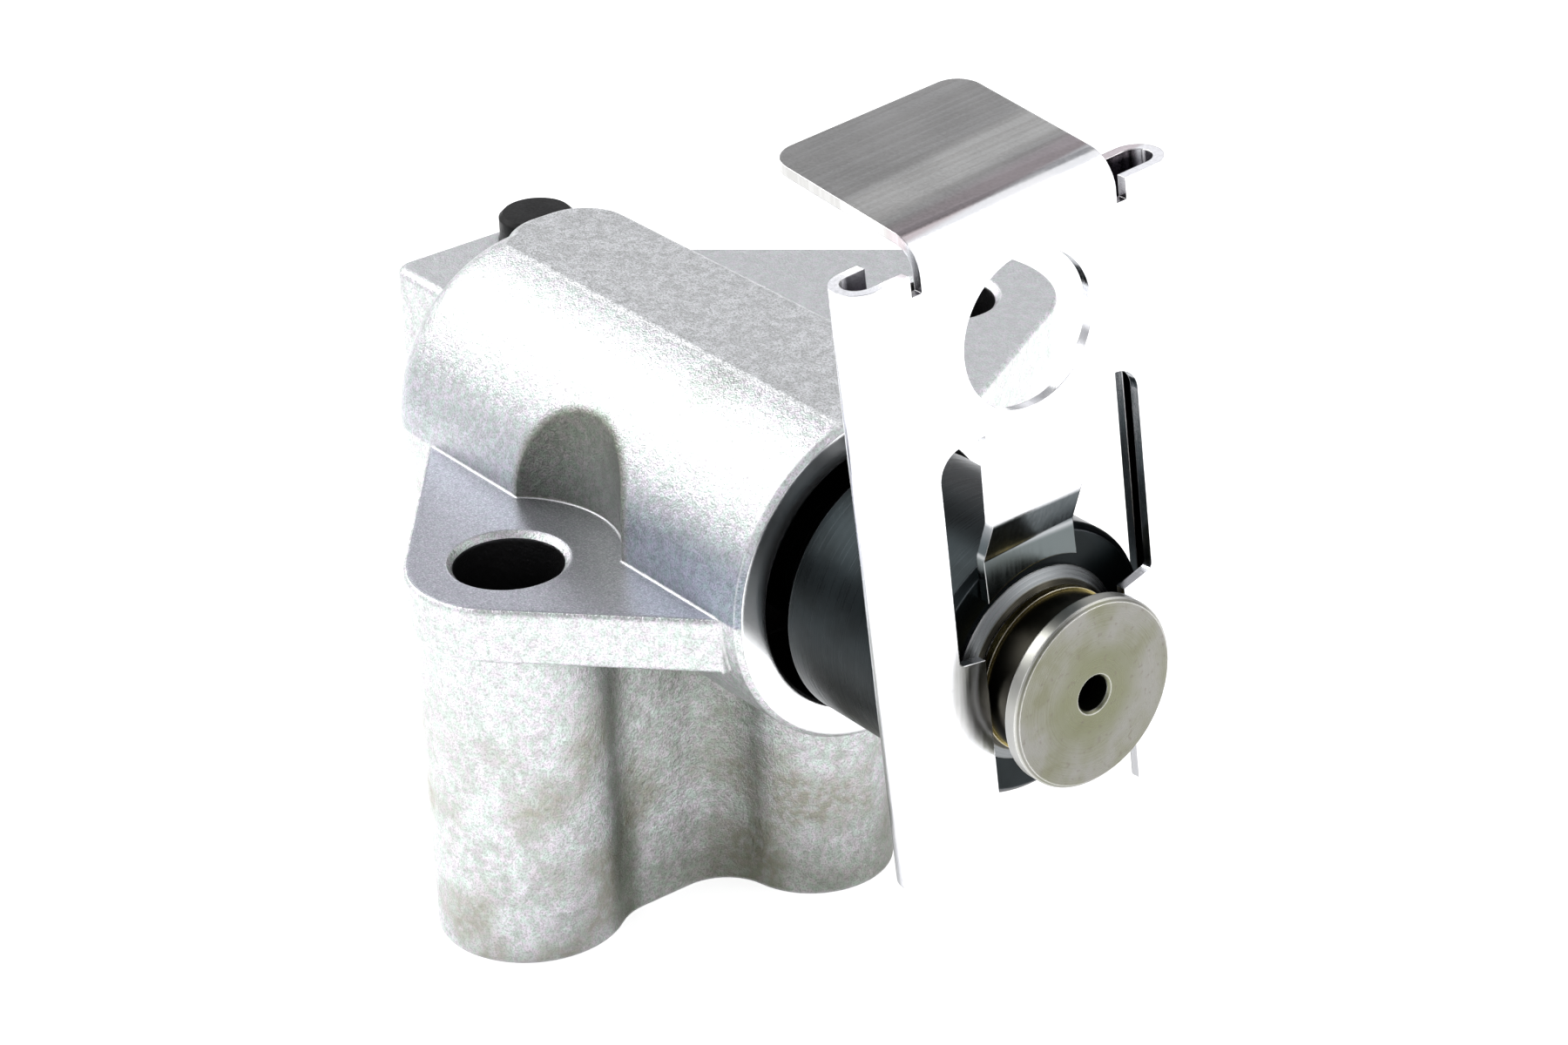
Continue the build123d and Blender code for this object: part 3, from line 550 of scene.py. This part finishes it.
def nose_steel():
    """Straw-tinted ground steel: concentric marks on the face, a neck painted dark for its shade, a rim
    painted lighter for its highlight, and chamfers rubbed bright for wear and highlight.
    """
    t = Tree("nose_steel", 1.0, 0.3)
    t.shader.inputs["Anisotropic"].default_value = 0.55
    t.feed(t.shader.inputs["Tangent"], t.turned_tangent())
    across, station = t.radius(), t.along("X")
    lathe = t.rings(across, 0.16 * MM, 3)
    cloud = t.noise(3.5 * MM, 3)
    spots = t.noise(0.5 * MM, 3)
    face = t.clouded(lathe, DISC_DARK, DISC_LIGHT)
    face = t.mix(t.spread(cloud, 0.45, 0.65, end=0.7), face, DISC_GREY)
    face = t.mix(t.spread(across, STRAW_FADE, STRAW_R, end=0.8), face, DISC_MIDDLE)
    face = t.mix(t.spread(cloud, 0.48, 0.34, end=0.6), face, DISC_OLIVE)
    face = t.mix(t.spread(spots, 0.58, 0.74, end=0.5), face, DISC_SPOT)
    # Painted shade: the neck is painted near black
    shaded_neck = t.mix(t.spread(cloud, 0.4, 0.7), NECK_SHADE_DARK, NECK_SHADE_LIGHT)

    behind = t.spread(station, DISC_REAR - 0.06 * MM, DISC_REAR - 0.12 * MM)
    shoulder = t.spread(station, NECK_REAR + 0.1 * MM, NECK_REAR)
    face = t.mix(shoulder, face, SHOULDER_GREY)
    colour = t.mix(t.without(behind, shoulder), face, shaded_neck)
    # Painted highlight on the disc's rim
    rim_highlight = t.without(t.spread(across, DISC_R - 0.15 * MM, DISC_R - 0.08 * MM), behind)
    colour = t.mix(t.product(rim_highlight, 0.5), colour, DISC_RIM_HIGHLIGHT)
    # Edges rubbed near white: wear, and a painted highlight on the chamfers
    rolled = t.bevel(0.22 * MM)
    colour = t.rubbed(colour, rolled, 0.9, NOSE_EDGE_WEAR_AND_HIGHLIGHT)
    return t.finish(colour, t.varied(lathe, 0.26, 0.36), t.bump(lathe, 0.012 * MM, 0.6, rolled))


ZINC_GREY, ZINC_WHITE = rgb(0.82, 0.83, 0.86), rgb(0.90, 0.90, 0.92)
SCRATCH_GREY = rgb(0.60, 0.60, 0.62)
HEM_SHADE_DARK = rgb(0.05, 0.045, 0.055)
KNEE_SHADE_BLUE, TAB_FOOT_SHADE_BLUE = rgb(0.028, 0.042, 0.048), rgb(0.075, 0.092, 0.092)     # painted shade on the tab's knee and foot
CUT_WHITE = rgb(0.95, 0.95, 0.95)
TONGUE_SHADE_GREY, BAND_REFLECTION_GREY = rgb(0.56, 0.56, 0.55), rgb(0.80, 0.80, 0.78)
STRIP_REFLECTION_PINK = rgb(0.60, 0.54, 0.56)
STREAK_SHARE = (0.7, 0.68, 0.66)


def tongue_skin(t, slanted):
    """Tongue with painted shade and reflections: duller grey for its shade, a paler band across it and
    a pinkish strip beyond as reflections, and streaks along Y.
    """
    # Painted reflections across the tongue, on a duller grey that is painted shade
    reflection_band = t.near(slanted, TONGUE_BAND, TONGUE_BAND_HALF, core=0.4)
    colour = t.mix(reflection_band, TONGUE_SHADE_GREY, BAND_REFLECTION_GREY)
    reflection_strip = t.spread(slanted, TONGUE_STRIP, TONGUE_STRIP + 1.4 * MM)
    colour = t.mix(reflection_strip, colour, STRIP_REFLECTION_PINK)
    streak = t.noise(0.5 * MM, 3, stretch=(1, 60, 60), shift=(0.4, 0.1, 0.3))
    return t.darkened(colour, t.spread(streak, 0.40, 0.60, end=0.35), STREAK_SHARE)


def zinc_sheet():
    """Bright zinc on sheet steel: rolling lines, scratches, painted shade in the hems and on the tab,
    and a tongue with painted shade and reflections.
    """
    t = Tree("zinc_sheet", 1.0, 0.16)
    rolling = t.noise(0.25 * MM, 3, stretch=(1, 1, 40))
    cloud = t.noise(5 * MM, 3)
    scratch = t.noise(0.16 * MM, 2, stretch=(12, 25, 3), shift=(0.2, 0.5, 0.9))
    height = t.along("Z")
    colour = t.clouded(cloud, ZINC_GREY, ZINC_WHITE)
    colour = t.mix(t.spread(scratch, 0.66, 0.76, end=0.35), colour, SCRATCH_GREY)
    # Painted shade inside the hems
    colour = t.mix(t.spread(t.occlusion(HEM_REACH), 0.88, 0.5), colour, HEM_SHADE_DARK)

    slanted = t.math("ADD", t.along("X"), t.product(t.along("Y"), TONGUE_SLANT))
    tongue = t.product(t.spread(height, TONGUE_FOOT, TONGUE_FOOT + 0.3 * MM),
                       t.spread(slanted, TONGUE_BEND + 0.5 * MM, TONGUE_BEND))
    colour = t.mix(tongue, colour, tongue_skin(t, slanted))

    across = t.math("ABSOLUTE", t.math("SUBTRACT", t.along("Y"), AXIS.y))
    tab = t.spread(across, TAB_HALF + 0.5 * MM, TAB_HALF)
    # Painted shade on the tab's knee and foot, in dark blue
    knee = t.product(t.spread(height, TAB_KNEE_TOP + 0.2 * MM, TAB_KNEE_TOP - 0.5 * MM),
                     t.spread(height, TAB_KNEE_FOOT - 0.5 * MM, TAB_KNEE_FOOT))
    foot = t.product(t.spread(height, TAB_KNEE_FOOT + 0.3 * MM, TAB_KNEE_FOOT - 0.8 * MM),
                     t.spread(height, TAB_END - 0.5 * MM, TAB_END))
    colour = t.mix(t.product(tab, knee, 0.97), colour, KNEE_SHADE_BLUE)
    colour = t.mix(t.product(tab, foot, 0.95), colour, TAB_FOOT_SHADE_BLUE)
    rolled = t.bevel(0.12 * MM)
    colour = t.rubbed(colour, rolled, 0.5, CUT_WHITE)
    rough = t.math("ADD", t.varied(cloud, 0.0, 0.07), t.varied(rolling, 0.12, 0.2))
    return t.finish(colour, rough, t.bump(rolling, 0.006 * MM, 0.4, rolled))


def plain_metal(name, light, dark, roughness, mark_size, mark_depth):
    """Turned or drawn metal of the hidden parts: clouded colour, fine marks and paler edges."""
    t = Tree(name, 1.0, roughness)
    cloud = t.noise(2 * MM, 3)
    marks = t.noise(mark_size, 2, stretch=(1, 20, 20))
    rolled = t.bevel(0.12 * MM)
    colour = t.rubbed(t.clouded(cloud, dark, light), rolled, 0.5, rgb(0.85, 0.85, 0.85))
    rough = t.varied(marks, roughness * 0.8, roughness * 1.25)
    return t.finish(colour, rough, t.bump(marks, mark_depth, 0.5, rolled))


def plain_plastic(name, light, dark, roughness, grain_size, grain_depth, specular):
    """Moulded plastic or rubber: faint clouds, fine grain and edges rubbed a little paler."""
    t = Tree(name, 0.0, roughness, specular)
    cloud = t.noise(3 * MM, 3)
    grain = t.noise(grain_size, 3)
    rolled = t.bevel(0.2 * MM)
    paler = rgb(*(min(1.0, channel * 1.6 + 0.02) for channel in light[:3]))
    colour = t.rubbed(t.clouded(cloud, dark, light), rolled, 0.5, paler)
    rough = t.varied(grain, roughness * 0.85, roughness * 1.15)
    return t.finish(colour, rough, t.bump(grain, grain_depth, 0.6, rolled))


FINISHES = {
    "cast_aluminium": cast_aluminium(),
    "blued_steel": blued_steel(),
    "nose_steel": nose_steel(),
    "zinc_sheet": zinc_sheet(),
}
FINISHES.update({name: plain_metal(name, *values) for name, values in METALS.items()})
FINISHES.update({name: plain_plastic(name, *values) for name, values in PLASTICS.items()})


def dress_nodes():
    """Gives each CAD node the finish of its material slot."""
    for node in frame["nodes"].values():
        for slot in node.material_slots:
            slot.material = FINISHES[slot.material.name.split(".")[0]]


def spring_mesh(name, centre, start, end, coil_r, wire_r, turns):
    """Round wire wound about a line along X, with closed ends."""
    first, last = start + wire_r, end - wire_r
    count = turns * STEPS_PER_TURN
    points = []
    for index in range(count + 1):
        turn = 2 * pi * turns * index / count
        x = first + (last - first) * index / count
        points.append(Vector((x, centre.y + coil_r * cos(turn), centre.z + coil_r * sin(turn))))
    vertices, faces = [], []
    for index, point in enumerate(points):
        along = (points[min(index + 1, count)] - points[max(index - 1, 0)]).normalized()
        out = (point - Vector((point.x, centre.y, centre.z))).normalized()
        up = along.cross(out)
        for side in range(WIRE_SIDES):
            angle = 2 * pi * side / WIRE_SIDES
            vertices.append(point + wire_r * (cos(angle) * out + sin(angle) * up))
    for index in range(count):
        for side in range(WIRE_SIDES):
            a, b = index * WIRE_SIDES + side, index * WIRE_SIDES + (side + 1) % WIRE_SIDES
            faces.append((a, b, b + WIRE_SIDES, a + WIRE_SIDES))
    faces.append(tuple(reversed(range(WIRE_SIDES))))
    faces.append(tuple(range(count * WIRE_SIDES, (count + 1) * WIRE_SIDES)))
    mesh = bpy.data.meshes.new(name)
    mesh.from_pydata(vertices, [], faces)
    mesh.shade_smooth()
    piece = bpy.data.objects.new(name, mesh)
    bpy.context.scene.collection.objects.link(piece)
    return piece


def compressing_spring(node, body, joint, turns, wire_r, anchor_end):
    """Stands for a CAD spring and rides on its body."""
    low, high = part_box(node)
    centre = (low + high) / 2
    coil_r = (high.y - low.y) / 2 - wire_r
    piece = spring_mesh(node + "_wound", centre, low.x, high.x, coil_r, wire_r, turns)
    piece.data.materials.append(FINISHES["spring_steel"])
    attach(piece, body)
    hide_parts(node)
    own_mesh(piece)


def white_floor():
    """Floor that the camera and reflections see brighter than it is lit, with a painted shadow round
    the foot and painted shade to one side in what reflections see.
    """
    bpy.ops.mesh.primitive_plane_add(size=FLOOR_SIZE, location=(0, 0, -FLOOR_GAP))
    floor = bpy.context.object
    floor.name = "floor"
    t = Tree("floor", 0.0, 0.6, specular=0.2)
    path = t.nodes.new("ShaderNodeLightPath")
    mirrored = t.highest(path.outputs["Is Glossy Ray"], path.outputs["Is Transmission Ray"])
    seen = t.product(path.outputs["Is Camera Ray"], FLOOR_GLOW)
    away = t.vector("SUBTRACT", t.place, FOOT_MIDDLE)
    share = t.vector("LENGTH", t.vector("MULTIPLY", away, (1 / FOOT_HALF_X, 1 / FOOT_HALF_Y, 0)))
    # Painted shadow round the foot and painted shade to one side, in what reflections see
    shaded_reflection_glow = t.product(t.spread(share, 0.9, 2.2, start=0.3),
                      t.spread(t.vector("DOT_PRODUCT", away, WINDOW_SIDE),
                               WINDOW_START, WINDOW_END, start=1.0, end=0.5))
    t.feed(t.shader.inputs["Emission Color"], rgb(1, 1, 1))
    t.feed(t.shader.inputs["Emission Strength"], t.highest(seen, t.product(mirrored, shaded_reflection_glow)))
    floor.data.materials.append(t.finish(colour=rgb(FLOOR_COLOUR, FLOOR_COLOUR, FLOOR_COLOUR)))


def surroundings():
    """World with a grey horizon, a bright belt above it and a darker ceiling."""
    world = bpy.data.worlds.new("studio")
    bpy.context.scene.world = world
    world.use_nodes = True
    nodes, links = world.node_tree.nodes, world.node_tree.links
    direction = nodes.new("ShaderNodeTexCoord").outputs["Generated"]
    split = nodes.new("ShaderNodeSeparateXYZ")
    links.new(direction, split.inputs[0])
    sky = nodes.new("ShaderNodeValToRGB")
    stops = sky.color_ramp.elements
    for position, _ in SKY[:-2]:
        stops.new(position)
    for stop, (position, level) in zip(stops, SKY):
        stop.position = position
        stop.color = rgb(level, level, level * SKY_BLUE)
    links.new(split.outputs["Z"], sky.inputs["Fac"])
    links.new(sky.outputs["Color"], nodes["Background"].inputs["Color"])
    nodes["Background"].inputs["Strength"].default_value = 1.0


def heading(azimuth, elevation):
    """Direction by degrees from +X toward -Y, and above level."""
    a, e = radians(azimuth), radians(elevation)
    return Vector((cos(e) * cos(a), -cos(e) * sin(a), sin(e)))


def soft_box(name, azimuth, elevation, distance, width, watts):
    """Square area lamp that looks at the middle of the part."""
    light = bpy.data.lights.new(name, "AREA")
    light.size = width
    light.energy = watts
    lamp = bpy.data.objects.new(name, light)
    bpy.context.scene.collection.objects.link(lamp)
    back = heading(azimuth, elevation)
    lamp.location = (CAD_BOX[0] + CAD_BOX[1]) / 2 + back * distance
    lamp.rotation_mode = "QUATERNION"
    lamp.rotation_quaternion = (-back).to_track_quat("-Z", "Y")


def camera():
    """Camera at the photograph's own angle."""
    back = heading(CAMERA_AZIMUTH, CAMERA_ELEVATION)
    roll = radians(CAMERA_ROLL)
    level = (-back).cross(Vector((0, 0, 1))).normalized()
    upright = level.cross(-back)
    right = cos(roll) * level - sin(roll) * upright
    up = sin(roll) * level + cos(roll) * upright
    ring_centre = Vector((RING_FACE, AXIS.y, AXIS.z))
    pixel = CAMERA_DISTANCE / FOCAL_PIXELS
    place = ring_centre + back * CAMERA_DISTANCE
    place -= right * (RING_CENTRE_X - IMAGE_WIDTH / 2) * pixel
    place += up * (RING_CENTRE_Y - IMAGE_HEIGHT / 2) * pixel
    data = bpy.data.cameras.new("camera")
    data.sensor_width = SENSOR_WIDTH
    data.lens = FOCAL_PIXELS / IMAGE_WIDTH * SENSOR_WIDTH
    data.clip_start, data.clip_end = CLIP_START, CLIP_END
    piece = bpy.data.objects.new("camera", data)
    bpy.context.scene.collection.objects.link(piece)
    turn = Matrix((right, up, back)).transposed().to_4x4()
    piece.matrix_world = Matrix.Translation(place) @ turn
    bpy.context.scene.camera = piece


dress_nodes()
for spring in SPRINGS:
    compressing_spring(*spring)
white_floor()
surroundings()
for lamp in LAMPS:
    soft_box(*lamp)
camera()
bpy.context.scene.view_settings.view_transform = "Standard"
